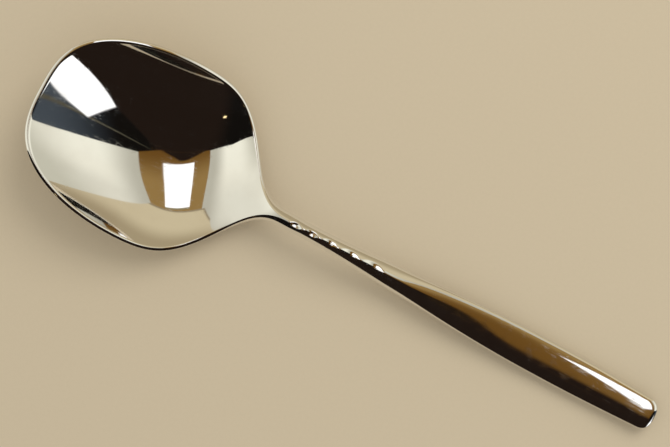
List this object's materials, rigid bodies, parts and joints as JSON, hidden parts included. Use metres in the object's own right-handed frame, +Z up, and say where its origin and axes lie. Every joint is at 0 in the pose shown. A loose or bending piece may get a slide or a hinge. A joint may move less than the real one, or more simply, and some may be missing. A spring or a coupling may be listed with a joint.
{
  "type": "serving spoon",
  "caption": "Serving spoon with a wide, deep squarish bowl, a narrow dimpled neck and a slim arched handle that swells towards a blunt round end.",
  "frame": {"origin": "centre of the spoon's box in plan, on the table that the spoon lies on", "axes": "+X along the spoon from the bowl's tip to the handle's end, +Y across it, +Z up out of the bowl's open side"},
  "size_m": [0.21, 0.0582, 0.0203],
  "materials": {
    "polished_steel": "mirror-polished stainless steel sheet with faint use scratches",
    "forged_steel": "mirror-polished solid stainless steel with faint use scratches",
    "silver_braze": "silver braze, polished flush with the steel"
  },
  "bodies": {
    "root": {"bowl": "polished_steel", "handle": "forged_steel", "braze_seam": "silver_braze"}
  },
  "joints": []
}
